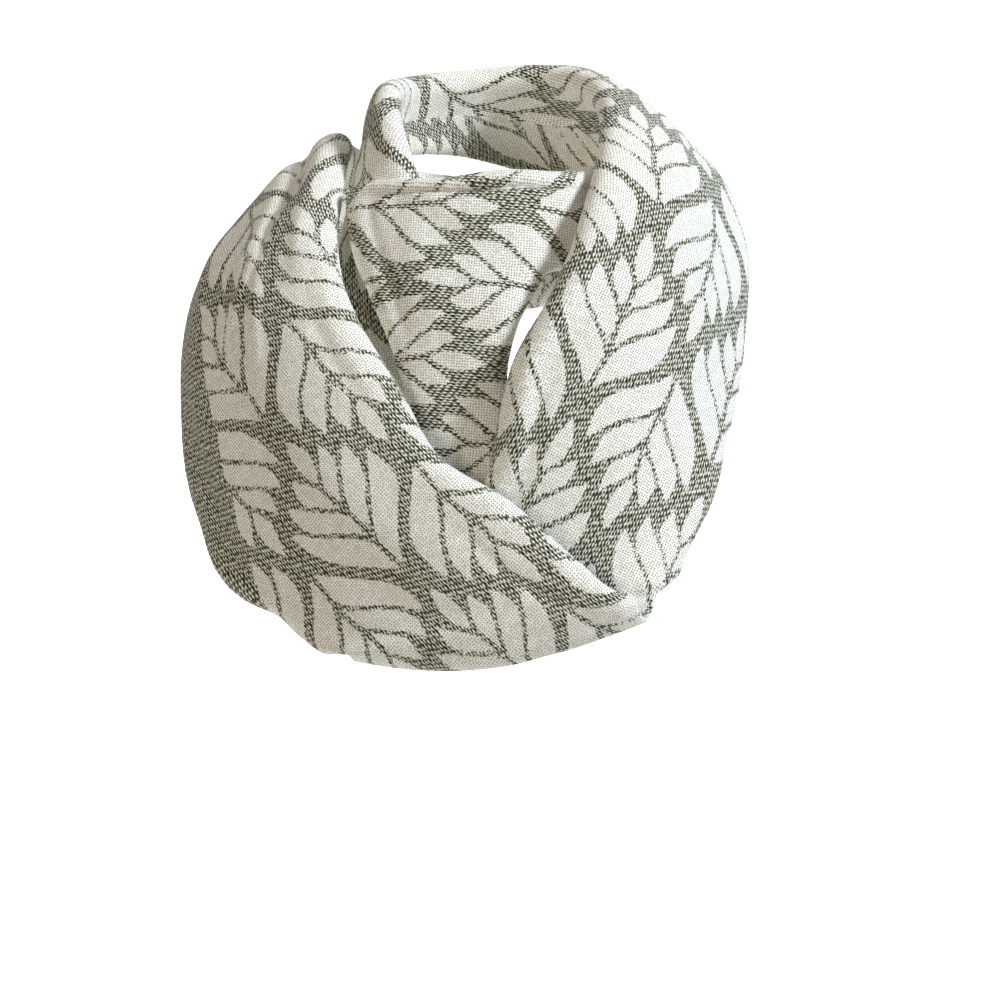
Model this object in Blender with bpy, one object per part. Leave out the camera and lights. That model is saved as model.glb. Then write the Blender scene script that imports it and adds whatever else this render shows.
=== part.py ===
"""Infinity scarf, worn in two turns round the neck.

The real scarf is one long rectangle of woven cloth.  Its long edges are sewn
together into a tube, the tube is pressed flat, and its two ends are sewn
together into a ring.  The ring goes round the neck twice.  Each turn is
folded over once in front, like a ribbon, so the band that comes down on the
left goes back up on the right with its other side showing.

Frame: metres, +Z up, and the wearer faces -Y.  Left and right are as seen
from the front, so left is -X.  The origin is the middle of the neck at the
level where the scarf hangs on it.

The ring is described by cross lines.  Each row of a table is one line across
the band, from its edge A to its edge B, and edge A of one stretch runs on
into edge A of the next, all the way round and back to the first row.
"""

import math

import bpy
from mathutils import Vector

MM = 0.001

# The tube of cloth, pressed flat.
TUBE_FLAT = 230 * MM
WALL = 2.8 * MM            # two layers of cloth that lie on each other
SEAM_GAP = 0.32 * MM       # between two stretches

# The edges of the band are rolled in under it, towards the wearer.
ROLL_RADIUS = 5.5 * MM
RETURN_SHARE = 0.42        # the widest return, as a share of the visible face
RETURN_LEAST = 1.5 * MM
ROLL_LEAST = 3 * MM
RETURN_STARTS = math.radians(120)  # an edge that curls less than this has no return

# How finely the wall is cut.
FACE_STEPS = 8
ROLL_STEPS = 4
RETURN_STEPS = 3
ROW_SPACING = 24 * MM      # between two rings along the band
FINE_SPACING = 5 * MM      # the same where the band is folded over
STEP = 1 * MM              # how far apart two lines are that give the direction of travel

# One row for each cross line.  Positions are in millimetres.  "bend" is how
# many degrees the face turns from edge A to edge B, and "curl" is how far its
# edges roll in.  Both change sign where the band is folded over.
COLUMNS = ("ax", "ay", "az", "bx", "by", "bz", "bend", "curl")

STRETCHES = {
    "left_front": (
        (-89, 8, 3, -142, 13, -58, 44, 180),
        (-90, -46, -17, -154, -4, -64, 50, 180),
        (-91, -72, -34, -164, -22, -86, 60, 180),
        (-87, -92, -56, -168, -38, -111, 66, 180),
        (-76, -110, -80, -167, -58, -144, 64, 180),
        (-56, -131, -109, -160, -80, -176, 54, 180),
        (-35, -151, -142, -144, -104, -203, 42, 180),
        (1, -163, -164, -119, -125, -222, 30, 170),
        (37, -170, -195, -97, -141, -238, 22, 130),
        (64, -169, -216, -72, -153, -243, 16, 50),
        (69, -160, -224, -68, -146, -247, 36, 0),
    ),
    "right_front": (
        (73, -152, -215, -66, -139, -241, 0, -20),
        (84, -145, -205, -46, -139, -212, -10, -80),
        (97, -129, -188, -20, -141, -184, -26, -160),
        (110, -111, -168, -2, -142, -156, -38, -180),
        (118, -92, -145, 6, -140, -122, -48, -180),
        (126, -73, -121, 14, -135, -94, -54, -180),
        (131, -50, -92, 31, -126, -66, -58, -180),
        (133, -26, -60, 43, -111, -40, -60, -180),
        (128, -3, -37, 52, -88, -14, -60, -180),
        (122, 22, -28, 60, -50, 9, -56, -180),
    ),
    "nape_upper": (
        (114, 50, -30, 61, 8, 28, -50, -180),
        (84, 77, -28, 50, 42, 35, -46, -180),
        (36, 91, -24, 24, 64, 35, -40, -180),
        (-26, 78, -8, -22, 63, 31, -32, -180),
    ),
    "left_neck": (
        (-60, 48, -6, -54, 42, 28, -28, -180),
        (-73, 8, -16, -65, 2, 25, -26, -180),
        (-79, -22, -32, -58, -36, 3, -28, -180),
        (-84, -38, -50, -46, -53, -20, -28, -180),
        (-84, -52, -66, -26, -74, -46, -26, -180),
        (-74, -68, -90, -10, -90, -82, -22, -180),
        (-57, -86, -116, -4, -101, -116, -18, -174),
        (-41, -100, -142, 0, -107, -144, -12, -120),
        (-30, -109, -162, 0, -112, -163, -4, -40),
        (-28, -117, -169, -1, -118, -169, 20, 0),
    ),
    "front_drape": (
        (-29, -125, -162, -1, -124, -161, 6, 40),
        (-36, -121, -139, -2, -123, -132, 14, 120),
        (-50, -107, -92, -1, -118, -94, 22, 180),
        (-63, -92, -66, 4, -114, -76, 26, 180),
        (-74, -73, -41, 10, -109, -65, 26, 180),
        (-75, -56, -17, 15, -103, -57, 26, 180),
        (-55, -66, -12, 21, -98, -51, 24, 180),
        (-25, -76, -10, 30, -93, -49, 22, 180),
        (6, -80, -7, 41, -84, -49, 18, 180),
        (34, -74, -10, 50, -76, -50, 16, 180),
    ),
    "right_neck": (
        (54, -52, -12, 62, -58, -54, 16, 180),
        (65, -20, -14, 74, -22, -62, 18, 180),
        (62, 24, -18, 74, 30, -72, 20, 180),
        (44, 54, -22, 56, 66, -84, 22, 180),
    ),
    "nape_lower": (
        (16, 71, -26, 22, 94, -96, 28, 180),
        (-22, 74, -28, -34, 103, -98, 32, 180),
        (-64, 66, -20, -90, 84, -86, 38, 180),
        (-86, 36, -4, -126, 50, -70, 42, 180),
    ),
}

STRAIGHT = math.radians(0.1)  # a face that bends less than this is drawn flat

# Off-white leaves and olive ground seen as one colour, in linear light.
CLOTH_COLOUR = (0.40, 0.38, 0.29, 1.0)
CLOTH_ROUGHNESS = 0.9


def rows_of(table):
    """Each row of a table as a dictionary, with its lengths in metres and its angles in radians."""
    lengths = COLUMNS[:6]
    rows = []
    for values in table:
        row = dict(zip(COLUMNS, values, strict=True))
        for column in COLUMNS:
            row[column] = row[column] * MM if column in lengths else math.radians(row[column])
        rows.append(row)
    return rows


def edge(row, letter):
    """The end of a cross line, as a vector."""
    return Vector((row[letter + "x"], row[letter + "y"], row[letter + "z"]))


class Ring:
    """The closed run of cross lines, with a smooth curve through every column."""

    def __init__(self, rows):
        self.rows = rows
        self.count = len(rows)
        self.steps = [self._distance(i) for i in range(self.count)]

    def _distance(self, i):
        here = self.rows[i]
        after = self.rows[(i + 1) % self.count]
        moves = [(edge(after, letter) - edge(here, letter)).length for letter in "ab"]
        return 0.5 * sum(moves)

    def _slope(self, i, column):
        """How fast a column changes at row i, for each metre along the band."""
        before = self.steps[i - 1]
        after = self.steps[i % self.count]
        here = self.rows[i % self.count][column]
        rate_in = (here - self.rows[i - 1][column]) / before
        rate_out = (self.rows[(i + 1) % self.count][column] - here) / after
        return (rate_in * after + rate_out * before) / (before + after)

    def at(self, i, distance):
        """The cross line that lies a distance past row i."""
        span = self.steps[i]
        t = distance / span
        line = {}
        for column in COLUMNS:
            start = self.rows[i][column]
            end = self.rows[(i + 1) % self.count][column]
            slope_start = self._slope(i, column) * span
            slope_end = self._slope((i + 1) % self.count, column) * span
            line[column] = (
                (2 * t**3 - 3 * t**2 + 1) * start
                + (t**3 - 2 * t**2 + t) * slope_start
                + (3 * t**2 - 2 * t**3) * end
                + (t**3 - t**2) * slope_end
            )
        return line


def face_outline(width, bend):
    """The visible face from edge A to edge B, as an arc on a chord of the given width."""
    points = []
    for k in range(FACE_STEPS + 1):
        share = k / FACE_STEPS
        if abs(bend) < STRAIGHT:
            points.append((width * share, 0.0))
            continue
        radius = width / (2 * math.sin(bend / 2))
        angle = bend * (share - 0.5)
        rise = radius * (math.cos(angle) - math.cos(bend / 2))
        points.append((width / 2 + radius * math.sin(angle), rise))
    return points


def rolled_edge(width, bend, curl):
    """The roll and the return past edge B, from the end of the face outwards."""
    face_length = width if abs(bend) < STRAIGHT else width * (bend / 2) / math.sin(bend / 2)
    rolled = max(abs(curl) - RETURN_STARTS, 0) / (math.pi - RETURN_STARTS)
    roll_length = max(ROLL_RADIUS * abs(curl), ROLL_LEAST)
    spare = (TUBE_FLAT - face_length) / 2 - roll_length
    return_length = max(min(spare, RETURN_SHARE * face_length) * rolled**2, RETURN_LEAST)
    x, y = width, 0.0
    heading = -bend / 2
    points = []
    for k in range(ROLL_STEPS):
        heading -= curl / ROLL_STEPS / 2
        x += roll_length / ROLL_STEPS * math.cos(heading)
        y += roll_length / ROLL_STEPS * math.sin(heading)
        heading -= curl / ROLL_STEPS / 2
        points.append((x, y))
    turn = bend / face_length * return_length * rolled
    for k in range(RETURN_STEPS):
        heading += turn / RETURN_STEPS / 2
        x += return_length / RETURN_STEPS * math.cos(heading)
        y += return_length / RETURN_STEPS * math.sin(heading)
        heading += turn / RETURN_STEPS / 2
        points.append((x, y))
    return points


def section(line, travel):
    """The middle of the wall along one cross line: return, roll, face, roll and return."""
    a, b = edge(line, "a"), edge(line, "b")
    width = (b - a).length
    across = (b - a) / width
    out = across.cross(travel).normalized()
    past_b = rolled_edge(width, line["bend"], line["curl"])
    before_a = [(width - x, y) for x, y in reversed(past_b)]
    outline = before_a + face_outline(width, line["bend"]) + past_b
    return [a + across * x + out * y for x, y in outline]


def travel_at(ring, i, distance):
    """The direction in which the band runs, a distance past row i."""
    here, ahead = ring.at(i, distance), ring.at(i, distance + STEP)
    moves = [edge(ahead, letter) - edge(here, letter) for letter in "ab"]
    return (moves[0] + moves[1]).normalized()


def sections(ring, first, last):
    """The sections of one stretch, and for each the same section a step behind and a step ahead."""
    places = []
    for i in range(first, last):
        folded = abs(ring.rows[i]["curl"]) < RETURN_STARTS
        spacing = FINE_SPACING if folded else ROW_SPACING
        span = ring.steps[i]
        cuts = max(1, round(span / spacing))
        places += [(i, span * k / cuts) for k in range(cuts)]
    places.append((last % ring.count, 0.0))
    triples = []
    for i, distance in places:
        travel = travel_at(ring, i, distance)
        triples.append([section(ring.at(i, distance + step), travel) for step in (-STEP, 0.0, STEP)])
    return triples


def wall(triples, thickness):
    """Corners and faces of a closed wall about a run of sections, trimmed at both ends."""
    across = len(triples[0][1])
    trims = [SEAM_GAP / 2] + [0.0] * (len(triples) - 2) + [-SEAM_GAP / 2]
    outer, inner = [], []
    for (behind, here, ahead), trim in zip(triples, trims, strict=True):
        for k in range(across):
            sideways = here[min(k + 1, across - 1)] - here[max(k - 1, 0)]
            normal = sideways.cross(ahead[k] - behind[k]).normalized()
            middle = here[k] + normal.cross(sideways).normalized() * trim
            outer.append(middle + normal * thickness / 2)
            inner.append(middle - normal * thickness / 2)
    rows = len(triples)
    size = rows * across

    def corner(i, k, side):
        return i * across + k + side * size

    faces = []
    for i in range(rows - 1):
        for k in range(across - 1):
            quad = ((i, k), (i + 1, k), (i + 1, k + 1), (i, k + 1))
            faces.append([corner(*c, 0) for c in reversed(quad)])
            faces.append([corner(*c, 1) for c in quad])
    border = [(0, k) for k in range(across - 1)]
    border += [(i, across - 1) for i in range(rows - 1)]
    border += [(rows - 1, k) for k in range(across - 1, 0, -1)]
    border += [(i, 0) for i in range(rows - 1, 0, -1)]
    for here, after in zip(border, border[1:] + border[:1], strict=True):
        rim = [corner(*here, 0), corner(*here, 1), corner(*after, 1), corner(*after, 0)]
        if here[1] > after[1]:
            rim = rim[1:] + rim[:1]      # so that both rims of a seam are cut along the same diagonals
        faces.append(rim[:3])
        faces.append([rim[0], rim[2], rim[3]])
    return outer + inner, faces


def cloth_material(name):
    material = bpy.data.materials.new(name)
    material.use_nodes = True
    shader = material.node_tree.nodes["Principled BSDF"]
    shader.inputs["Base Color"].default_value = CLOTH_COLOUR
    shader.inputs["Roughness"].default_value = CLOTH_ROUGHNESS
    shader.inputs["Metallic"].default_value = 0.0
    return material


def build_stretch(name, ring, first, last):
    """One stretch of the ring as its own object, from row first to row last."""
    corners, faces = wall(sections(ring, first, last), WALL)
    mesh = bpy.data.meshes.new(name)
    mesh.from_pydata(corners, [], faces)
    mesh.validate()
    mesh.shade_smooth()
    mesh.materials.append(cloth_material(name + "_cloth"))
    piece = bpy.data.objects.new(name, mesh)
    bpy.context.scene.collection.objects.link(piece)


def main():
    for item in list(bpy.data.objects):
        bpy.data.objects.remove(item)
    tables = {name: rows_of(table) for name, table in STRETCHES.items()}
    ring = Ring([row for rows in tables.values() for row in rows])
    first = 0
    for name, rows in tables.items():
        last = first + len(rows)
        build_stretch(name, ring, first, last)
        first = last


main()
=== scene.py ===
# %% [markdown]
# # An infinity scarf, worn in two turns
#
# The real scarf is a long rectangle of jacquard cloth.  Its long edges are
# sewn into a tube, the tube is pressed flat, and the ends are joined into a
# ring.  The ring goes twice round the neck, and each turn is folded over once
# in front, as a ribbon is, so that its other side shows from there on.
#
# This lesson makes the cloth on top of a plain solid model of the same scarf,
# which is loaded first as a fixed frame.  All lengths are in metres, +Z is up,
# the wearer faces -Y, and left and right are as seen from the front.

# %% Load the plain model
import math

import bpy
import numpy as np
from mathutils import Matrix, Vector, noise


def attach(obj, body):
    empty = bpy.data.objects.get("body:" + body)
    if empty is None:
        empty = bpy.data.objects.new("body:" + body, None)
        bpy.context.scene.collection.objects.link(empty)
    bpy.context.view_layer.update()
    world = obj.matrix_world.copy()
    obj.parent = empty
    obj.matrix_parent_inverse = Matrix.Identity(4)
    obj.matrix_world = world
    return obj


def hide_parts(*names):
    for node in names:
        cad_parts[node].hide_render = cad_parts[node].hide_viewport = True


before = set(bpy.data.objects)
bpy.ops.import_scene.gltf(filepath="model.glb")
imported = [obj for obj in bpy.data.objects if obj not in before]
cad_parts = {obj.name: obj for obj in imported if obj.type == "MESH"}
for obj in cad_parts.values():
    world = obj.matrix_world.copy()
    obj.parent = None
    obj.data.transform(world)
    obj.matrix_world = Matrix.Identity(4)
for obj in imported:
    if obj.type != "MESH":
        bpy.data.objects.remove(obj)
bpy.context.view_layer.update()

MM = 0.001

# %% [markdown]
# ## The run of the band
#
# A worn scarf could be draped by simulation, but then the cloth would fall
# where it likes.  Here the folds have to lie as they do on this scarf, so the
# band is described instead, by lines that run straight across it.  Each row
# below is one such line, from the band's edge A to its edge B, in
# millimetres.  "bend" is how many degrees the face turns from edge to edge,
# and "curl" is how far the edges roll in behind it.  Both change sign where
# the band is folded over and shows its other side.

# %% The cross lines
COLUMNS = ("ax", "ay", "az", "bx", "by", "bz", "bend", "curl")
A_PLACE, B_PLACE = slice(0, 3), slice(3, 6)      # the columns with each edge's place
BEND, CURL = COLUMNS.index("bend"), COLUMNS.index("curl")
STRETCHES = {
    "left_front": (
        (-89, 8, 3, -142, 13, -58, 44, 180),
        (-90, -46, -17, -154, -4, -64, 50, 180),
        (-91, -72, -34, -164, -22, -86, 60, 180),
        (-87, -92, -56, -168, -38, -111, 66, 180),
        (-76, -110, -80, -167, -58, -144, 64, 180),
        (-56, -131, -109, -160, -80, -176, 54, 180),
        (-35, -151, -142, -144, -104, -203, 42, 180),
        (1, -163, -164, -119, -125, -222, 30, 170),
        (37, -170, -195, -97, -141, -238, 22, 130),
        (64, -169, -216, -72, -153, -243, 16, 50),
        (69, -160, -224, -68, -146, -247, 36, 0),
    ),
    "right_front": (
        (73, -152, -215, -66, -139, -241, 0, -20),
        (84, -145, -205, -46, -139, -212, -10, -80),
        (97, -129, -188, -20, -141, -184, -26, -160),
        (110, -111, -168, -2, -142, -156, -38, -180),
        (118, -92, -145, 6, -140, -122, -48, -180),
        (126, -73, -121, 14, -135, -94, -54, -180),
        (131, -50, -92, 31, -126, -66, -58, -180),
        (133, -26, -60, 43, -111, -40, -60, -180),
        (128, -3, -37, 52, -88, -14, -60, -180),
        (122, 22, -28, 60, -50, 9, -56, -180),
    ),
    "nape_upper": (
        (114, 50, -30, 61, 8, 28, -50, -180),
        (84, 77, -28, 50, 42, 35, -46, -180),
        (36, 91, -24, 24, 64, 35, -40, -180),
        (-26, 78, -8, -22, 63, 31, -32, -180),
    ),
    "left_neck": (
        (-60, 48, -6, -54, 42, 28, -28, -180),
        (-73, 8, -16, -65, 2, 25, -26, -180),
        (-79, -22, -32, -58, -36, 3, -28, -180),
        (-84, -38, -50, -46, -53, -20, -28, -180),
        (-84, -52, -66, -26, -74, -46, -26, -180),
        (-74, -68, -90, -10, -90, -82, -22, -180),
        (-57, -86, -116, -4, -101, -116, -18, -174),
        (-41, -100, -142, 0, -107, -144, -12, -120),
        (-30, -109, -162, 0, -112, -163, -4, -40),
        (-28, -117, -169, -1, -118, -169, 20, 0),
    ),
    "front_drape": (
        (-29, -125, -162, -1, -124, -161, 6, 40),
        (-36, -121, -139, -2, -123, -132, 14, 120),
        (-50, -107, -92, -1, -118, -94, 22, 180),
        (-63, -92, -66, 4, -114, -76, 26, 180),
        (-74, -73, -41, 10, -109, -65, 26, 180),
        (-75, -56, -17, 15, -103, -57, 26, 180),
        (-55, -66, -12, 21, -98, -51, 24, 180),
        (-25, -76, -10, 30, -93, -49, 22, 180),
        (6, -80, -7, 41, -84, -49, 18, 180),
        (34, -74, -10, 50, -76, -50, 16, 180),
    ),
    "right_neck": (
        (54, -52, -12, 62, -58, -54, 16, 180),
        (65, -20, -14, 74, -22, -62, 18, 180),
        (62, 24, -18, 74, 30, -72, 20, 180),
        (44, 54, -22, 56, 66, -84, 22, 180),
    ),
    "nape_lower": (
        (16, 71, -26, 22, 94, -96, 28, 180),
        (-22, 74, -28, -34, 103, -98, 32, 180),
        (-64, 66, -20, -90, 84, -86, 38, 180),
        (-86, 36, -4, -126, 50, -70, 42, 180),
    ),
}
NAMES = tuple(STRETCHES)
table = np.array([row for rows in STRETCHES.values() for row in rows], float)
table[:, :BEND] *= MM
table[:, BEND:] = np.radians(table[:, BEND:])
row_counts = [len(rows) for rows in STRETCHES.values()]
first_rows = dict(zip(NAMES, np.cumsum([0] + row_counts[:-1]).tolist()))
print(len(table), "cross lines in", len(NAMES), "stretches")

# %% [markdown]
# ## A smooth ring through the lines
#
# Cloth has no corners along its run, so a smooth curve goes through every
# column of the table: a cubic between two rows, with one slope at each row
# that both neighbours share.  The stretches that face forward are cut finely,
# and the ones that only show from the side or back a little less so.

# %% Lay closely spaced lines along the ring
FINE_CUT, PLAIN_CUT = 1.8 * MM, 2.3 * MM
SHOWN_IN_FRONT = ("left_front", "right_front", "front_drape")

ahead = np.roll(table, -1, axis=0)
edge_moves = [np.linalg.norm(ahead[:, edge] - table[:, edge], axis=1) for edge in (A_PLACE, B_PLACE)]
gaps = sum(edge_moves) / 2
gaps_before = np.roll(gaps, 1)
rates = (ahead - table) / gaps[:, None]
rates_before = np.roll(rates, 1, axis=0)
slopes = (rates_before * gaps[:, None] + rates * gaps_before[:, None]) / (gaps + gaps_before)[:, None]

from_row, share, stretch_of = [], [], []
for number, name in enumerate(NAMES):
    cut = FINE_CUT if name in SHOWN_IN_FRONT else PLAIN_CUT
    for row in range(first_rows[name], first_rows[name] + row_counts[number]):
        cuts = max(1, round(gaps[row] / cut))
        from_row += [row] * cuts
        share += [k / cuts for k in range(cuts)]
        stretch_of += [number] * cuts
from_row, share, stretch_of = np.array(from_row), np.array(share)[:, None], np.array(stretch_of)
to_row = (from_row + 1) % len(table)
span = gaps[from_row][:, None]
lines = (
    (2 * share**3 - 3 * share**2 + 1) * table[from_row]
    + (share**3 - 2 * share**2 + share) * slopes[from_row] * span
    + (3 * share**2 - 2 * share**3) * table[to_row]
    + (share**3 - share**2) * slopes[to_row] * span
)
edge_a, edge_b, bend, curl = (lines[:, column] for column in (A_PLACE, B_PLACE, BEND, CURL))
run = np.concatenate([[0], np.cumsum(gaps)])[from_row] + share[:, 0] * span[:, 0]
ring_length = gaps.sum()
print(len(lines), "lines along a ring of", round(ring_length / MM), "mm")

# %% [markdown]
# ## The shape of one cross section
#
# From edge to edge the face is a shallow arc.  Past each edge the cloth rolls
# in behind the face and lies back under it, because the pressed tube is wider
# than what shows.  The section is drawn as a walk: the heading changes
# steadily in each part, and the steps add up to the outline.  Smoothing the
# heading, and not the points, softens the corners without shrinking the roll.

# %% Draw the section at every line
TUBE_FLAT = 230 * MM
ROLL_RADIUS = 5.5 * MM
RETURN_SHARE, RETURN_LEAST, ROLL_LEAST = 0.42, 1.5 * MM, 3 * MM
RETURN_STARTS = math.radians(120)
STRAIGHT = math.radians(0.1)
ACROSS = 112                 # steps from one end of the section to the other
SOFTEN = 3.0                 # how many steps the heading is smoothed over
BELL_ENDS = 3                # how many times that the bell curve reaches out


def unit(vectors):
    return vectors / np.linalg.norm(vectors, axis=-1, keepdims=True)


def blurred(values, reach, axis):
    """The values smoothed along one axis by a bell curve, with the ends held."""
    size = int(BELL_ENDS * reach) + 1
    bell = np.exp(-0.5 * (np.arange(-size, size + 1) / reach) ** 2)
    padded = np.pad(values, [(size, size) if a == axis else (0, 0) for a in range(values.ndim)], mode="edge")
    return np.apply_along_axis(lambda line: np.convolve(line, bell / bell.sum(), mode="valid"), axis, padded)


width = np.linalg.norm(edge_b - edge_a, axis=1)
half_bend = np.where(np.abs(bend) < STRAIGHT, STRAIGHT, bend) / 2
face = width * half_bend / np.sin(half_bend)
rolled = np.maximum(np.abs(curl) - RETURN_STARTS, 0) / (math.pi - RETURN_STARTS)
roll = np.maximum(ROLL_RADIUS * np.abs(curl), ROLL_LEAST)
spare = (TUBE_FLAT - face) / 2 - roll
under = np.maximum(np.minimum(spare, RETURN_SHARE * face) * rolled**2, RETURN_LEAST)
under_turn = bend / face * under * rolled

reach = face / 2 + roll + under
sideways_share = np.linspace(-1, 1, ACROSS + 1)
across_s = reach[:, None] * sideways_share
away = np.abs(across_s)
on_face = np.minimum(away / face[:, None], 0.5)
on_roll = np.clip((away - face[:, None] / 2) / roll[:, None], 0, 1)
on_return = np.clip((away - (face / 2 + roll)[:, None]) / under[:, None], 0, 1)
heading = -np.sign(across_s) * (
    bend[:, None] * on_face + curl[:, None] * on_roll - under_turn[:, None] * on_return
)
heading = blurred(heading, SOFTEN, 1)

walk = np.diff(across_s, axis=1)
between = (heading[:, 1:] + heading[:, :-1]) / 2
middle = ACROSS // 2
plan = []
for step in (np.cos(between) * walk, np.sin(between) * walk):
    place = np.concatenate([np.zeros((len(lines), 1)), np.cumsum(step, axis=1)], axis=1)
    plan.append(place - place[:, middle:middle + 1])

sideways = unit(edge_b - edge_a)
travel = unit(sum(np.roll(e, -1, axis=0) - np.roll(e, 1, axis=0) for e in (edge_a, edge_b)))
outwards = unit(np.cross(sideways, travel))
rise = width / 2 * np.tan(half_bend / 2)
cloth_middle = (
    ((edge_a + edge_b) / 2)[:, None]
    + sideways[:, None] * plan[0][..., None]
    + outwards[:, None] * (rise[:, None] + plan[1])[..., None]
)
print("widest section:", round(2 * reach.max() / MM), "mm, narrowest:", round(2 * reach.min() / MM), "mm")

# %% [markdown]
# ## Creases, placed one by one
#
# A woven scarf holds a few soft creases where it is gathered or turns, and
# they are what makes it read as cloth.  Each row below is one crease: three
# points that it runs through, each as a share of the stretch's length and of
# the face from edge A (0) to edge B (1), then how high it stands, with a
# minus sign for a trough, and how far it spreads to each side, both in
# millimetres.  Heights count towards the side of the cloth that shows.

# %% The main creases
CREASE_COLUMNS = ("along0", "across0", "along1", "across1", "along2", "across2", "height", "spread")
CREASES = {
    "left_front": (
        (-0.06, 0.28, 0.05, 0.22, 0.13, 0.27, -6.0, 7),
        (0.05, 0.24, 0.13, 0.28, 0.23, 0.33, -4.2, 3.4),
        (0.04, 0.04, 0.16, 0.10, 0.30, 0.12, 2.0, 5),
        (0.18, 0.34, 0.23, 0.46, 0.28, 0.62, 1.9, 3.2),
        (0.20, 0.33, 0.27, 0.42, 0.35, 0.54, 2.0, 3.0),
        (0.22, 0.31, 0.30, 0.35, 0.41, 0.42, 1.6, 2.8),
        (0.02, 0.62, 0.14, 0.52, 0.26, 0.50, -2.4, 9),
        (0.30, 0.03, 0.42, 0.06, 0.58, 0.04, 0.9, 2.6),
        (0.26, 0.10, 0.40, 0.12, 0.52, 0.10, -0.9, 3.0),
        (0.10, 0.78, 0.22, 0.72, 0.36, 0.74, 2.4, 11),
        (0.34, 0.90, 0.50, 0.86, 0.64, 0.90, -2.4, 8),
        (0.44, 0.30, 0.60, 0.36, 0.82, 0.30, 1.4, 14),
        (0.52, 0.60, 0.70, 0.62, 0.92, 0.52, -1.5, 12),
        (0.70, 0.16, 0.82, 0.18, 0.97, 0.10, -1.2, 6),
        (0.56, 1.06, 0.66, 1.04, 0.76, 1.00, 6.0, 9),
        (0.73, 0.98, 0.80, 1.02, 0.90, 1.00, -2.5, 9),
        (1.00, 0.12, 1.00, 0.26, 1.00, 0.42, -5.0, 9),
        (1.00, -0.06, 1.01, 0.00, 1.04, 0.05, 3.5, 7),
    ),
    "right_front": (
        (0.06, 0.00, 0.13, 0.00, 0.24, 0.02, -3.5, 8),
        (0.16, 0.84, 0.40, 0.90, 0.66, 0.86, -1.8, 5),
        (0.24, 0.94, 0.46, 0.97, 0.72, 0.94, 1.3, 3.5),
        (0.50, 0.72, 0.70, 0.68, 0.92, 0.60, 1.6, 10),
        (0.12, 0.46, 0.30, 0.50, 0.52, 0.44, 1.2, 14),
        (0.36, 0.20, 0.60, 0.24, 0.86, 0.30, -1.4, 11),
        (0.74, 0.46, 0.88, 0.44, 1.00, 0.40, -1.8, 8),
    ),
    "nape_upper": (
        (0.00, 0.28, 0.40, 0.30, 0.95, 0.36, -2.0, 7),
        (0.10, 0.62, 0.50, 0.60, 1.00, 0.62, 1.6, 8),
        (0.30, 0.84, 0.60, 0.80, 0.90, 0.84, -1.2, 5),
    ),
    "left_neck": (
        (0.00, 0.40, 0.14, 0.46, 0.30, 0.50, -1.6, 6),
        (0.20, 0.70, 0.40, 0.66, 0.62, 0.60, 1.2, 6),
        (0.40, 0.30, 0.60, 0.34, 0.84, 0.40, -1.2, 6),
    ),
    "front_drape": (
        (0.30, 0.10, 0.42, 0.16, 0.56, 0.10, -1.6, 4.5),
        (0.52, 0.12, 0.72, 0.14, 1.02, 0.11, -1.9, 2.4),
        (0.50, 0.03, 0.74, 0.05, 1.00, 0.03, 1.1, 2.6),
        (0.56, 0.30, 0.60, 0.20, 0.66, 0.08, -1.2, 3.0),
        (0.34, 0.42, 0.50, 0.40, 0.66, 0.34, 1.4, 10),
        (0.60, 0.20, 0.74, 0.16, 0.90, 0.22, -1.0, 7),
        (0.84, 0.60, 0.92, 0.52, 1.00, 0.40, 1.6, 7),
        (0.06, 0.50, 0.18, 0.54, 0.32, 0.46, -1.0, 6),
    ),
    "right_neck": (
        (0.00, 0.40, 0.40, 0.46, 1.00, 0.40, -1.8, 7),
        (0.20, 0.74, 0.60, 0.70, 1.00, 0.72, 1.4, 6),
    ),
    "nape_lower": (
        (0.00, 0.26, 0.40, 0.22, 0.90, 0.28, 1.8, 8),
        (0.05, 0.52, 0.50, 0.56, 1.00, 0.50, -2.4, 8),
        (0.30, 0.80, 0.60, 0.76, 1.10, 0.70, 1.8, 9),
    ),
}
print(sum(len(rows) for rows in CREASES.values()), "creases")

# %% Press the creases into the cloth
CREASE_POINTS = 24           # how many points each crease is drawn with
TAPER_FROM, TAPER_TO = 0.02, 0.98    # shares of a crease between which its height rises and falls
TAPER_POWER = 0.7            # below 1, so that a crease stays high for most of its run
starts = {name: float(run[stretch_of == number][0]) for number, name in enumerate(NAMES)}
ends = {name: starts.get(after, ring_length) for name, after in zip(NAMES, NAMES[1:] + ("",))}
lengths = {name: ends[name] - starts[name] for name in NAMES}


def crease_field(name, rows):
    """How far each point of the cloth moves out for the creases of one stretch."""
    field = np.zeros(across_s.shape)
    for values in rows:
        crease = dict(zip(CREASE_COLUMNS, values, strict=True))
        t = np.linspace(0, 1, CREASE_POINTS)
        points = []
        for way in ("along", "across"):
            a, b, c = (crease[way + k] for k in "012")
            points.append((1 - t) * (1 - 2 * t) * a + 4 * t * (1 - t) * b + t * (2 * t - 1) * c)
        along = starts[name] + points[0] * lengths[name]
        across = (points[1] - 0.5) * np.interp(along, run, face)
        spread = crease["spread"] * MM
        taper = np.sin(math.pi * np.clip(t, TAPER_FROM, TAPER_TO)) ** TAPER_POWER
        best = np.zeros(across_s.shape)
        shift = (run[:, None] - along.mean() + ring_length / 2) % ring_length - ring_length / 2 + along.mean()
        for x, y, strength in zip(along, across, taper):
            best = np.maximum(best, strength * np.exp(-((shift - x) ** 2 + (across_s - y) ** 2) / spread**2))
        field += crease["height"] * MM * best
    return field


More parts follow.
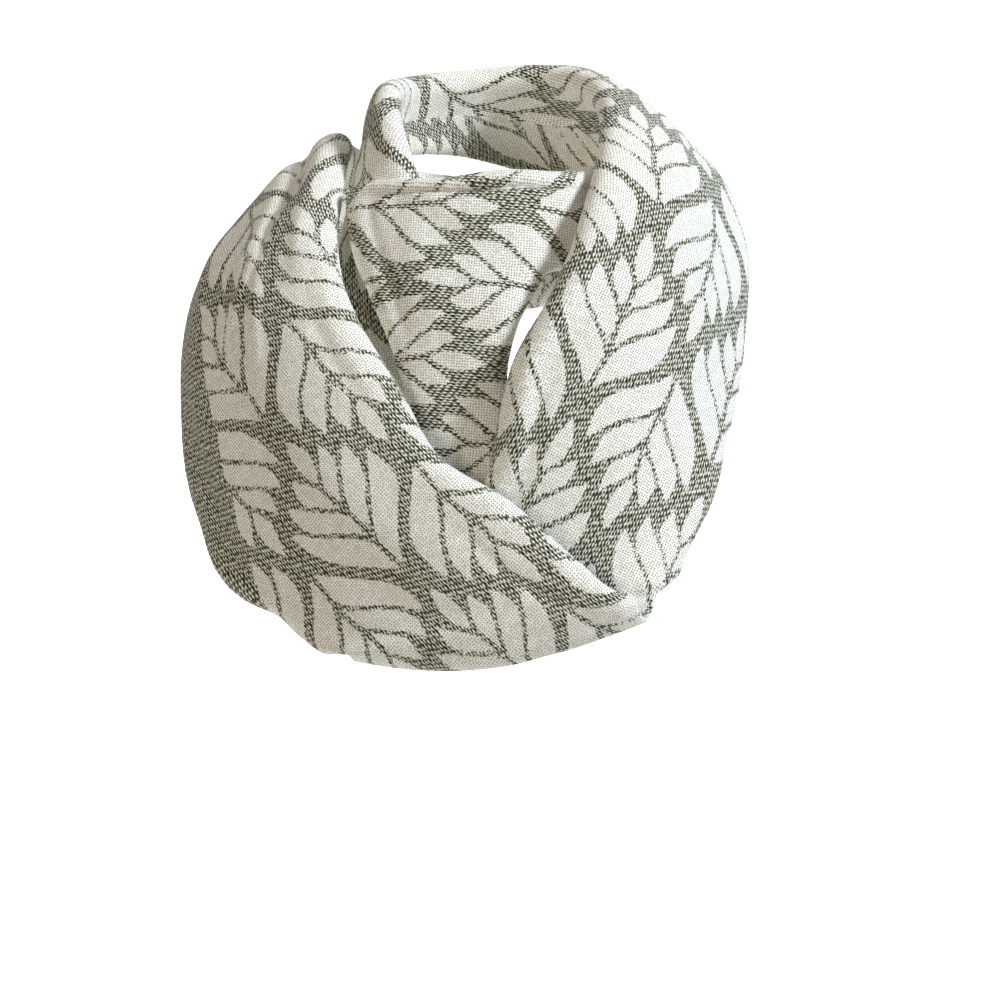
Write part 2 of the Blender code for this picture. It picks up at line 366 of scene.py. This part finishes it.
side_out = {name: math.copysign(1, sum(row[BEND] for row in STRETCHES[name])) for name in NAMES}
creased = sum(side_out[name] * crease_field(name, rows) for name, rows in CREASES.items())
print("creases move the cloth from", round(creased.min() / MM, 1), "to", round(creased.max() / MM, 1), "mm")

# %% [markdown]
# Between the creases the cloth isn't quite even either.  A slow noise adds
# the last unevenness: one wave about as wide as a hand's breadth of cloth, and
# one about as wide as a finger, both stretched along the band.

# %% Add the slow unevenness
WAVES = ((62 * MM, 1.1 * MM), (24 * MM, 0.35 * MM))   # width of a wave, and its height
LONGER_ALONG = 1.7
turn = 2 * math.pi * run / ring_length
uneven = np.zeros(across_s.shape)
for size, height in WAVES:
    loop = ring_length / (2 * math.pi) / (size * LONGER_ALONG)
    for i, angle in enumerate(turn):
        ring_x, ring_y = loop * math.cos(angle), loop * math.sin(angle)
        uneven[i] += [height * noise.noise(Vector((ring_x, ring_y, s / size))) for s in across_s[i]]


def surface_normals(grid):
    """The normal at each point of a grid that closes along its rows."""
    along = np.roll(grid, -1, axis=0) - np.roll(grid, 1, axis=0)
    return unit(np.cross(np.gradient(grid, axis=1), along))


smooth_middle = cloth_middle
cloth_middle = smooth_middle + surface_normals(smooth_middle) * (creased + uneven)[..., None]
print("unevenness up to", round(np.abs(uneven).max() / MM, 2), "mm")

# %% [markdown]
# Where cloth is gathered, a crease also swallows some of it, and the pattern
# jumps across the crease.  A tuck is a path like a crease's, then how many
# millimetres of cloth it hides, and how far to each side the pattern is
# squeezed.

# %% The tucks
TUCK_COLUMNS = CREASE_COLUMNS[:6] + ("hidden", "spread")
TUCKS = {
    "left_front": (
        (-0.06, 0.24, 0.12, 0.28, 0.27, 0.34, 14, 2.8),
        (0.14, 0.36, 0.24, 0.46, 0.36, 0.56, 8, 5),
    ),
    "front_drape": (
        (0.50, 0.12, 0.74, 0.14, 1.02, 0.11, 4, 2.5),
    ),
}


def tucked_shift(name, rows):
    """How far the pattern is shifted across the band by the tucks of one stretch."""
    shift = np.zeros(across_s.shape)
    place = (run - starts[name] + ring_length / 2) % ring_length - ring_length / 2
    for values in rows:
        tuck = dict(zip(TUCK_COLUMNS, values, strict=True))
        stops = [tuck["along" + k] for k in "012"]
        share = place / lengths[name]
        taper = np.sin(math.pi * np.clip((share - stops[0]) / (stops[2] - stops[0]), 0, 1))
        middle_line = (np.interp(share, stops, [tuck["across" + k] for k in "012"]) - 0.5) * face
        squeezed = np.tanh((across_s - middle_line[:, None]) / (tuck["spread"] * MM))
        shift += tuck["hidden"] / 2 * MM * taper[:, None] * squeezed
    return shift


tucked = sum(tucked_shift(name, rows) for name, rows in TUCKS.items())
print("tucks hide up to", round(2 * tucked.max() / MM), "mm of cloth")

# %% [markdown]
# ## Two layers of cloth
#
# The pressed tube is two layers that lie on each other.  Its skin goes round
# the middle surface: out along one side, round a soft folded edge, and back
# along the other side.  A second skin just inside it gives the cloth its own
# thickness, so that each stretch is a closed, hollow shell.

# %% Wrap the skin round the middle
WALL = 2.8 * MM              # both layers and the air between them
CLOTH = 0.6 * MM             # one layer
FOLD_STEPS = 4
normals = surface_normals(cloth_middle)
side_steps = unit(np.gradient(cloth_middle, axis=1))
half = WALL / 2
fold_turns = np.linspace(0, math.pi, FOLD_STEPS + 1)[1:-1]


def folded_edge(column, direction):
    """The points round one folded edge of the tube, from its outer to its inner side."""
    centre, out, past = cloth_middle[:, column], normals[:, column], side_steps[:, column] * direction
    return [centre + half * (math.cos(a) * out + math.sin(a) * past) for a in fold_turns]


outer_side = cloth_middle + normals * half
inner_side = (cloth_middle - normals * half)[:, ::-1]
b_fold = np.stack(folded_edge(-1, 1), axis=1)
a_fold = np.stack(folded_edge(0, -1), axis=1)[:, ::-1]
skin = np.concatenate([outer_side, b_fold, inner_side, a_fold], axis=1)
round_count = skin.shape[1]
around = np.roll(skin, -1, axis=1) - np.roll(skin, 1, axis=1)
along = np.roll(skin, -1, axis=0) - np.roll(skin, 1, axis=0)
skin_normals = unit(np.cross(around, along))
lining = skin - skin_normals * CLOTH
print("skin of", skin.shape[0], "rings with", round_count, "points each")

# %% [markdown]
# ## The grain of the cloth
#
# Woven cloth hardly stretches, so its threads keep their direction when the
# band curves.  To know which way they run, the band is laid out flat in
# numbers: line by line, it moves on by its length and turns by as much as one
# edge is longer than the other.  The flat place of each point, in metres, is
# its UV, and every pattern of the material is drawn there.  A sculpted or
# simulated cloth would be unwrapped with Blender's own tools instead, but
# those stretch the threads a little, and here the sizes are known.

# %% Lay the band out flat
LAID_FROM = "front_drape"    # the inner fold is where the flat layout begins and ends
step = np.roll(smooth_middle, -1, axis=0) - smooth_middle
slip = (step * unit(np.gradient(smooth_middle, axis=1))).sum(axis=2)
forward = np.sqrt(np.maximum((step**2).sum(axis=2) - slip**2, 0))
shown = (away <= face[:, None] / 2).astype(float)
mean_s = (shown * across_s).sum(axis=1) / shown.sum(axis=1)
mean_forward = (shown * forward).sum(axis=1) / shown.sum(axis=1)
spread_s = across_s - mean_s[:, None]
turning = (shown * spread_s * (forward - mean_forward[:, None])).sum(axis=1) / (shown * spread_s**2).sum(axis=1)
mean_slip = (shown * slip).sum(axis=1) / shown.sum(axis=1)

order = np.roll(np.arange(len(lines)), -int(np.argmax(stretch_of == NAMES.index(LAID_FROM))))
flat_angle, flat_place = np.zeros(len(lines) + 1), np.zeros((len(lines) + 1, 2))
for k, i in enumerate(order):
    c, s = math.cos(flat_angle[k]), math.sin(flat_angle[k])
    on, aside = mean_forward[i], mean_slip[i]
    flat_place[k + 1] = flat_place[k] + (c * on - s * aside, s * on + c * aside)
    flat_angle[k + 1] = flat_angle[k] - turning[i]
for name in NAMES:
    k = int(np.argmax(stretch_of[order] == NAMES.index(name)))
    place, angle = np.round(flat_place[k] / MM).tolist(), round(math.degrees(flat_angle[k]))
    print(name, "starts at", place, "mm, turned by", angle, "degrees")

# %% [markdown]
# Cloth is woven first and sewn afterwards, so where the figure falls on the
# band is the maker's choice: how far it is turned and shifted.  The two sides
# of the pressed tube are different halves of the rectangle, and each has its
# own place on the pattern.  The front drape has one too, because the tube is
# twisted out of sight on the way there.

# %% Lay the flat band on the pattern
FOLD_HALF = FOLD_STEPS // 2  # the two sides meet half way round a folded edge
PLACE_COLUMNS = ("turn", "along", "across")
PLACES = {                   # degrees, and two shifts in millimetres
    "outer": (-3, 44, 18),
    "inner": (-8, -20, 6),
    "front_drape": (84, -35, -24),
}
round_fold = half * np.linspace(0, math.pi / 2, FOLD_HALF + 1)[1:]
place_in_order = np.argsort(order)


def flat_points(name, side):
    """Where the points of one side of a stretch lie on the flat pattern, line by line."""
    values = PLACES.get(name, PLACES[side]) if side == "outer" else PLACES[side]
    place = dict(zip(PLACE_COLUMNS, values, strict=True))
    k = place_in_order[stretch_of == NAMES.index(name)]
    k = np.append(k, k[-1] + 1)
    s = (across_s + tucked)[order[k % len(lines)]]
    s = np.concatenate([s[:, :1] - round_fold[::-1], s, s[:, -1:] + round_fold], axis=1)
    turned = math.radians(place["turn"])
    cos_turn, sin_turn = math.cos(turned), math.sin(turned)
    start = flat_place[k] @ np.array([[cos_turn, sin_turn], [-sin_turn, cos_turn]])
    angle = flat_angle[k][:, None] + turned
    u = start[:, :1] - np.sin(angle) * s + place["along"] * MM
    v = start[:, 1:] + np.cos(angle) * s + place["across"] * MM
    return np.stack([u, v], axis=2)


print("left front's outer side:", flat_points("left_front", "outer").shape[:2], "flat points")

# %% [markdown]
# ## Leaves for the jacquard
#
# A jacquard loom weaves a figure into the cloth: here off-white leaf fronds
# on an olive ground.  Nothing is added on top of the cloth, so the figure is
# part of its finish and needs no geometry, by nodes or by hand.  It is an
# ordinary leaf repeat, charted leaflet by leaflet and worked out by rule.  A frond has a
# stem, a leaflet at its tip and three more on each side, each a lens along a
# slightly swaying line. The fronds stand in columns that point one way and
# the other in turn.  Where two leaflets meet, both give way to a thin olive
# line.  The figure wanders a little from its place, as threads do in soft
# cloth.  What is kept is each point's depth inside a leaf in millimetres,
# because a distance stays sharp between the points of a mesh.

# %% Work out one repeat
REPEAT = np.array([106, 82])     # millimetres along the stems, and across them
TIP_LEAD = 41                    # how far the tips of one column lie ahead of the returning one's
LEAFLET_COLUMNS = ("root", "length", "width", "angle")
LEAFLETS = (                     # root in millimetres from the frond's tip, angle in degrees from its stem
    (32, 32, 9.5, 0),
    (49, 34, 11, 19),
    (68, 49, 14, 27),
    (90, 63, 16.5, 29),
)
STEM_STARTS = LEAFLETS[0][0]     # behind the root of the leaflet at the tip
SWAY = 0.04                      # of a leaflet's length
OLIVE_LINE, STEM_WIDTH = 2.7, 2.8
DEEPEST = 4                      # depths are cut off here
FAR_OFF = 50.0                   # further than any leaf is deep
WANDER_U = (1.1, 9.1, 1)         # height in millimetres, millimetres per radian across the stems, and start
WANDER_V = (0.9, 7.3, 0)         # the same, along the stems


def frond():
    """The leaflets of one frond that points along +x with its tip at 0: root, angle, length, width and side."""
    for values in LEAFLETS:
        leaflet = dict(zip(LEAFLET_COLUMNS, values, strict=True))
        for side in (-1, 1) if leaflet["angle"] else (1,):
            root = np.array([-leaflet["root"], side * STEM_WIDTH / 4 if leaflet["angle"] else 0])
            yield root, math.radians(leaflet["angle"]) * side, leaflet["length"], leaflet["width"], side


def wander(places, height, pace, start):
    """How far the figure has moved aside at each place along a slow wave, in millimetres."""
    return height * np.sin(places / pace + start)


def leaf_depth(flat):
    """How deep each flat point lies inside a leaf, in millimetres, and less than 0 on the ground."""
    p = flat.reshape(-1, 2) / MM
    p = p + np.stack([wander(p[:, 1], *WANDER_U), wander(p[:, 0], *WANDER_V)], axis=1)
    deepest = np.full(len(p), -FAR_OFF)
    next_deepest, off_stem = deepest.copy(), -deepest
    for tip, way in (((0, 0), 1), ((-TIP_LEAD, REPEAT[1] / 2), -1)):
        for root, angle, length, width, side in frond():
            direction = np.array([math.cos(angle), math.sin(angle)])
            centre = np.array(tip) + way * (root + direction * length / 2)
            q = ((p - centre + REPEAT / 2) % REPEAT - REPEAT / 2) * way
            along = q @ direction / length + 0.5
            beside = q @ np.array([-direction[1], direction[0]]) * side
            t = np.clip(along, 0, 1)
            sway = -SWAY * length * np.sin(2 * math.pi * t) if angle else 0
            lens = width / 2 * np.sin(math.pi * t)
            depth = lens - np.abs(beside - sway) - np.abs(along - t) * length
            next_deepest = np.maximum(next_deepest, np.minimum(deepest, depth))
            deepest = np.maximum(deepest, depth)
        behind_tip = ((tip[0] - p[:, 0]) * way) % REPEAT[0]
        off_centre = (p[:, 1] - tip[1] + REPEAT[1] / 2) % REPEAT[1] - REPEAT[1] / 2
        beside_stem = np.abs(off_centre) - STEM_WIDTH / 2
        off_stem = np.minimum(off_stem, np.where(behind_tip < STEM_STARTS, FAR_OFF, beside_stem))
    depth = np.minimum(np.minimum(deepest, (deepest - next_deepest - OLIVE_LINE) / 2), off_stem)
    return np.clip(depth, -DEEPEST, DEEPEST).reshape(flat.shape[:-1])


sheet_u, sheet_v = np.meshgrid(np.arange(REPEAT[0]), np.arange(REPEAT[1]))
leaf_share = (leaf_depth(np.stack([sheet_u, sheet_v], axis=2) * MM) > 0).mean()
print("leaves cover", round(100 * leaf_share), "percent of one repeat")

# %% [markdown]
# The figure stops short of the cloth's long edges and leaves a plain olive
# border.  On this scarf it comes round to the front only at the left, where
# it follows the outer edge and runs out under the bottom.

# %% The plain border
BORDER = {                   # share of the left front's length: millimetres in from edge B
    -0.30: -30, 0.0: 8, 0.20: 30, 0.28: 39, 0.45: 41, 0.55: 31, 0.64: 16, 0.74: 0, 0.85: -30,
}


def inside_border(name):
    """How far each outer point of a stretch lies from the plain border, in millimetres."""
    rows = np.flatnonzero(stretch_of == NAMES.index(name))
    rows = np.append(rows, (rows[-1] + 1) % len(lines))
    share = (run[rows] - starts["left_front"]) / lengths["left_front"]
    if name != "left_front":
        share = np.where(share > 1, share - ring_length / lengths["left_front"], share)
    line = face[rows] / 2 / MM - np.interp(share, list(BORDER), list(BORDER.values()))
    s = across_s[rows]
    s = np.concatenate([s[:, :1] - round_fold[::-1], s, s[:, -1:] + round_fold], axis=1)
    return line[:, None] - s / MM


print("widest border:", max(BORDER.values()), "mm")

# %% [markdown]
# ## The seven stretches as meshes
#
# Each stretch takes its own lines from the ring, and the first line of the
# next one, so that the cloth runs on from piece to piece.  Outer skin and
# inner skin are joined at both ends, which closes the shell.

# %% Build the pieces
half_round = round_count // 2
side_columns = {             # the skin's columns in the order of each flat side
    "outer": (np.arange(half_round + 1) - FOLD_HALF) % round_count,
    "inner": round_count - FOLD_HALF - np.arange(half_round + 1),
}


def corner_values(sides):
    """What both sides hold at the four corners of every quad of a skin, in the skin's own order."""
    rows = len(sides["outer"])
    first = np.empty((rows, round_count) + sides["outer"].shape[2:])
    second = first.copy()
    for side, columns in side_columns.items():
        held = sides[side]
        if side == "inner":
            columns, held = columns[::-1], held[:, ::-1]
        first[:, columns[:-1]], second[:, columns[:-1]] = held[:, :-1], held[:, 1:]
    quads = np.stack([first[:-1], second[:-1], second[1:], first[1:]], axis=2)
    quads = quads.reshape((-1, 4) + first.shape[2:])
    ends = [np.repeat(first[at][:, None], 4, axis=1) for at in (0, -1)]
    return np.concatenate([quads, quads[:, ::-1], *ends]).astype(np.float32)


def stretch_mesh(name):
    """A closed, hollow shell for one stretch of the tube, with its flat layout and leaf depths."""
    rows = np.flatnonzero(stretch_of == NAMES.index(name))
    rows = np.append(rows, (rows[-1] + 1) % len(lines))
    count, n = len(rows), round_count
    points = np.concatenate([skin[rows].reshape(-1, 3), lining[rows].reshape(-1, 3)])
    facing = np.concatenate([skin_normals[rows].reshape(-1, 3), -skin_normals[rows].reshape(-1, 3)])
    row, column = np.meshgrid(np.arange(count - 1), np.arange(n), indexing="ij")
    here, beside = row * n + column, row * n + (column + 1) % n
    quads = np.stack([here, beside, beside + n, here + n], axis=2).reshape(-1, 4)
    ends = []
    for at, turned in ((0, 1), (count - 1, -1)):
        edge, next_edge = at * n + np.arange(n), at * n + (np.arange(n) + 1) % n
        ends.append(np.stack([edge, edge + count * n, next_edge + count * n, next_edge], axis=1)[:, ::turned])
    faces = np.concatenate([quads, quads[:, ::-1] + count * n, *ends])
    mesh = bpy.data.meshes.new(name)
    mesh.from_pydata(points.tolist(), [], faces.tolist())
    flat = {side: flat_points(name, side) for side in side_columns}
    depth = {side: leaf_depth(flat[side]) for side in side_columns}
    depth["outer"] = np.minimum(depth["outer"], inside_border(name))
    mesh.uv_layers.new(name="flat_layout").data.foreach_set("uv", corner_values(flat).ravel())
    mesh.attributes.new("leaf", "FLOAT", "CORNER").data.foreach_set("value", corner_values(depth).ravel())
    mesh.shade_smooth()
    mesh.normals_split_custom_set_from_vertices(facing.tolist())
    piece = bpy.data.objects.new(name + "_cloth", mesh)
    bpy.context.collection.objects.link(piece)
    return piece


pieces = {name: stretch_mesh(name) for name in NAMES}
for name, piece in pieces.items():
    print(piece.name, 2 * len(piece.data.polygons), "triangles")

# %% [markdown]
# ## The cloth's finish
#
# The material draws on the flat layout, in metres, so that threads and
# figures keep their real size however the cloth is folded.  The ground is
# rows of short off-white floats, which are stretches of thread that lie on
# top, over an olive weave.  Each row starts half a float further along than
# the last.  A brick pattern would give the rows too, but its bricks are all
# alike, and cells with a little randomness look hand-spun.  The leaves are a
# plain weave with tiny dark gaps between the threads.  Floats and gaps have
# the size at which they show from here, and finer yarn isn't drawn.

# %% Helpers for colours and nodes
def linear(hex_colour):
    """A colour picked as sRGB hex, as Blender's linear values."""
    values = [int(hex_colour[i:i + 2], 16) / 255 for i in (1, 3, 5)]
    return tuple(v / 12.92 if v <= 0.04045 else ((v + 0.055) / 1.055) ** 2.4 for v in values) + (1.0,)


def add(tree, kind, feeds=(), out=0, **settings):
    """One more node with its settings. feeds holds values, or the outputs that are linked to its inputs."""
    node = tree.nodes.new("ShaderNode" + kind)
    for setting, value in settings.items():
        setattr(node, setting, value)
    for key, value in (feeds.items() if isinstance(feeds, dict) else enumerate(feeds)):
        if isinstance(value, bpy.types.NodeSocket):
            tree.links.new(value, node.inputs[key])
        else:
            node.inputs[key].default_value = value
    return node.outputs[out] if node.outputs else node


def soft_step(tree, value, limits):
    """0 to 1, or back, as a value goes from the first limit to the second, with soft ends."""
    feeds = {"Value": value, "From Min": limits[0], "From Max": limits[1]}
    return add(tree, "MapRange", feeds, interpolation_type="SMOOTHSTEP")


def blend(tree, share, first, second):
    """One colour, or the other where the share is 1.  A colour is picked as hex or comes from a node."""
    colours = [linear(colour) if isinstance(colour, str) else colour for colour in (first, second)]
    return add(tree, "Mix", {0: share, 6: colours[0], 7: colours[1]}, out=2, data_type="RGBA")


print("middle grey as Blender counts it:", round(linear("#808080")[0], 3))

# %% Jacquard cotton
DASH_PITCH, ROW_PITCH = 3.3 * MM, 1.42 * MM
STAGGER = -0.5               # of a float's pitch, from one row to the next
SLANT = -0.2                 # the same, for the tilt of the floats
WEAVE_PITCH = 1.4 * MM
UNEVEN_CELLS = 0.35          # how far floats and gaps stray from their even places
SLUB_SIZE = 5 * MM           # how far the yarn keeps one thickness and tone
THREAD_STEP = 1.1 * MM
EDGE_JITTER = 1.1            # millimetres from an edge's furthest step in to its furthest out

# how far from the middle of its cell, as a share of the pitch, each look begins and ends
FLOAT_EDGE, SHADE_BETWEEN, PIN_GAP = (0.42, 0.18), (0.4, 0.6), (0.1, 0.36)
LEAF_EDGE = (0.4, 0.7)       # millimetres of depth over which the ground turns into leaf

FLOAT_PALE, FLOAT_DEEP = "#FFFDF4", "#DDDAC8"
# OLIVE_SHADE is painted shade, for the olive in the hollows between the raised floats
OLIVE_YARN, OLIVE_SHADE = "#5C5D41", "#25240F"
SLUB_DEEP, SLUB_PALE = "#DAD5C4", "#FFFEF8"
GAP_BROWN = "#65614C"


def jacquard_cotton():
    """Yarn-dyed cotton jacquard: off-white leaves and floats on an olive ground, dry and matt."""
    material = bpy.data.materials.new("cotton jacquard, yarn-dyed")
    material.use_nodes = True
    tree = material.node_tree
    tree.nodes.clear()
    layout = add(tree, "UVMap", uv_map="flat_layout")
    depth = add(tree, "Attribute", out="Fac", attribute_name="leaf")
    u, v = (add(tree, "SeparateXYZ", [layout], out=axis) for axis in ("X", "Y"))

    # the ground: rows of floats, each row half a float along from the last
    row = add(tree, "Math", [v, ROW_PITCH], operation="DIVIDE")
    row_number = add(tree, "Math", [row], operation="FLOOR")
    dash = add(tree, "Math", [u, DASH_PITCH], operation="DIVIDE")
    dash = add(tree, "Math", [row_number, STAGGER, dash], operation="MULTIPLY_ADD")
    dash = add(tree, "Math", [row, SLANT, dash], operation="MULTIPLY_ADD")
    cell = add(tree, "CombineXYZ", [dash, row, 0.0])
    floats = {"Vector": cell, "Scale": 1.0, "Randomness": UNEVEN_CELLS}
    off_float = add(tree, "TexVoronoi", floats, out="Distance", voronoi_dimensions="2D")
    float_tint = add(tree, "TexVoronoi", floats, out="Color", voronoi_dimensions="2D")
    on_float = soft_step(tree, off_float, FLOAT_EDGE)
    between = soft_step(tree, off_float, SHADE_BETWEEN)
    float_colour = blend(tree, float_tint, FLOAT_PALE, FLOAT_DEEP)
    # the olive darkens away from each float: painted shade in the hollows between the floats
    olive = blend(tree, between, OLIVE_YARN, OLIVE_SHADE)
    ground = blend(tree, on_float, olive, float_colour)

    # the leaves: plain weave with dark pin gaps between the threads
    pins = {"Vector": layout, "Scale": 1 / WEAVE_PITCH, "Randomness": UNEVEN_CELLS}
    weave = add(tree, "TexVoronoi", pins, out="Distance", voronoi_dimensions="2D")
    on_thread = soft_step(tree, weave, PIN_GAP)
    slubs = {"Vector": layout, "Scale": 1 / SLUB_SIZE, "Detail": 3.0}
    slub = add(tree, "TexNoise", slubs, noise_dimensions="2D")
    thread_colour = blend(tree, slub, SLUB_DEEP, SLUB_PALE)
    leaf_colour = blend(tree, on_thread, GAP_BROWN, thread_colour)

    # the edge of a leaf steps with the threads
    step_u, step_v = (add(tree, "Math", [c, THREAD_STEP], operation="SNAP") for c in (u, v))
    step = add(tree, "CombineXYZ", [step_u, step_v, 0.0])
    jitter = add(tree, "TexWhiteNoise", {"Vector": step}, noise_dimensions="2D")
    edge = add(tree, "Math", [jitter, EDGE_JITTER, depth], operation="MULTIPLY_ADD")
    in_leaf = soft_step(tree, edge, LEAF_EDGE)

    colour = blend(tree, in_leaf, ground, leaf_colour)
    height = add(tree, "Mix", {0: in_leaf, 2: on_float, 3: on_thread})
    bump = add(tree, "Bump", {"Strength": 0.7, "Distance": 0.3 * MM, "Height": height})
    shader = add(tree, "BsdfPrincipled", {
        "Base Color": colour, "Normal": bump, "Roughness": 0.88, "IOR": 1.5, "Specular IOR Level": 0.25,
        "Sheen Weight": 0.1, "Sheen Roughness": 0.5,
    })
    add(tree, "OutputMaterial", [shader])
    return material


cloth = jacquard_cotton()
for piece in pieces.values():
    piece.data.materials.append(cloth)
print("one cloth,", len(cloth.node_tree.nodes), "nodes")

# %% [markdown]
# ## Studio
#
# A pale sweep of paper makes floor and background in one, with no edge
# between them.  The key light stands to the viewer's right, so that the right
# side of the scarf is brightest and the left one falls into a soft, warmer
# shade.  The room round it adds little light, so that folds stay deep, but
# looks pale to the camera from every side.

# %% The sweep and the lights
FLOOR_HEIGHT, SWEEP_NEAR, SWEEP_FAR, SWEEP_TOP = -1.45, -2.5, 4.0, 5.0
SWEEP_SIDE, SWEEP_BEND, BEND_STEPS = 6.0, 1.5, 12
profile = [(SWEEP_NEAR, FLOOR_HEIGHT), (SWEEP_FAR - SWEEP_BEND, FLOOR_HEIGHT)]
profile += [
    (SWEEP_FAR - SWEEP_BEND + SWEEP_BEND * math.sin(a), FLOOR_HEIGHT + SWEEP_BEND * (1 - math.cos(a)))
    for a in np.linspace(0, math.pi / 2, BEND_STEPS + 1)[1:]
]
profile += [(SWEEP_FAR, SWEEP_TOP)]
sweep_mesh = bpy.data.meshes.new("paper_sweep")
sweep_points = [(x, y, z) for y, z in profile for x in (-SWEEP_SIDE, SWEEP_SIDE)]
sweep_faces = [(2 * i, 2 * i + 1, 2 * i + 3, 2 * i + 2) for i in range(len(profile) - 1)]
sweep_mesh.from_pydata(sweep_points, [], sweep_faces)
sweep_mesh.shade_smooth()
sweep = bpy.data.objects.new("paper_sweep", sweep_mesh)
bpy.context.collection.objects.link(sweep)
paper = bpy.data.materials.new("studio paper, pale")
paper.use_nodes = True
paper_look = paper.node_tree.nodes["Principled BSDF"].inputs
paper_look["Base Color"].default_value = linear("#F6F5F2")
paper_look["Roughness"].default_value = 0.95
sweep_mesh.materials.append(paper)

AMBIENT, BACKDROP = 0.05, 0.85   # how strongly the room lights the scarf, and how bright it looks
world = bpy.data.worlds.new("studio")
world.use_nodes = True
room = world.node_tree
room.nodes.clear()
seen = add(room, "LightPath", out="Is Camera Ray")
dim, pale = (add(room, "Background", [linear("#FFFEFA"), strength]) for strength in (AMBIENT, BACKDROP))
add(room, "OutputWorld", [add(room, "MixShader", [seen, dim, pale])])
bpy.context.scene.world = world

LIGHT_COLUMNS = ("name", "place", "aim", "size", "spread", "watts", "colour")
SCARF = (-0.01, -0.08, -0.1)
LIGHTS = (                   # metres, degrees and watts
    ("key", (2.5, -1.15, 1.75), SCARF, 0.6, 180, 146, "#E9F3FF"),
    ("fill", (-2.0, -2.7, 1.1), SCARF, 1.2, 180, 53, "#FFF4E6"),
    ("top", (0.4, -0.4, 2.4), SCARF, 1.4, 180, 2, "#FFFFFF"),
    ("paper", (0.0, 3.0, 3.2), (0.0, 2.8, -1.0), 3.0, 70, 120, "#FFFFFF"),
)
for values in LIGHTS:
    light = dict(zip(LIGHT_COLUMNS, values, strict=True))
    lamp = bpy.data.lights.new(light["name"], "AREA")
    lamp.size, lamp.energy, lamp.color = light["size"], light["watts"], linear(light["colour"])[:3]
    lamp.spread = math.radians(light["spread"])
    holder = bpy.data.objects.new(light["name"], lamp)
    holder.location = light["place"]
    holder.rotation_euler = (Vector(light["aim"]) - holder.location).to_track_quat("-Z", "Y").to_euler()
    bpy.context.collection.objects.link(holder)
bpy.context.scene.view_settings.view_transform = "Standard"
print(len(LIGHTS), "lights")

# %% The camera
CAMERA_DISTANCE, CAMERA_TILT = 1.9, math.radians(12)
CAMERA_TARGET = Vector((1, -100, -173)) * MM
LENS, SENSOR = 132.35, 36    # millimetres
camera = bpy.data.cameras.new("camera")
camera.lens, camera.sensor_width = LENS, SENSOR
camera_object = bpy.data.objects.new("camera", camera)
look = Vector((0, math.cos(CAMERA_TILT), -math.sin(CAMERA_TILT)))
camera_object.location = CAMERA_TARGET - look * CAMERA_DISTANCE
camera_object.rotation_euler = look.to_track_quat("-Z", "Y").to_euler()
bpy.context.collection.objects.link(camera_object)
bpy.context.scene.camera = camera_object
print("camera at", [round(x, 3) for x in camera_object.location], "m")

# %% [markdown]
# ## The pieces in place of the plain solids
#
# Each stretch stands for its plain solid, which is hidden, and hangs on the root.

# %% Hang each piece on the root and hide its plain solid
for name, piece in pieces.items():
    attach(piece, "root")
    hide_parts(name)
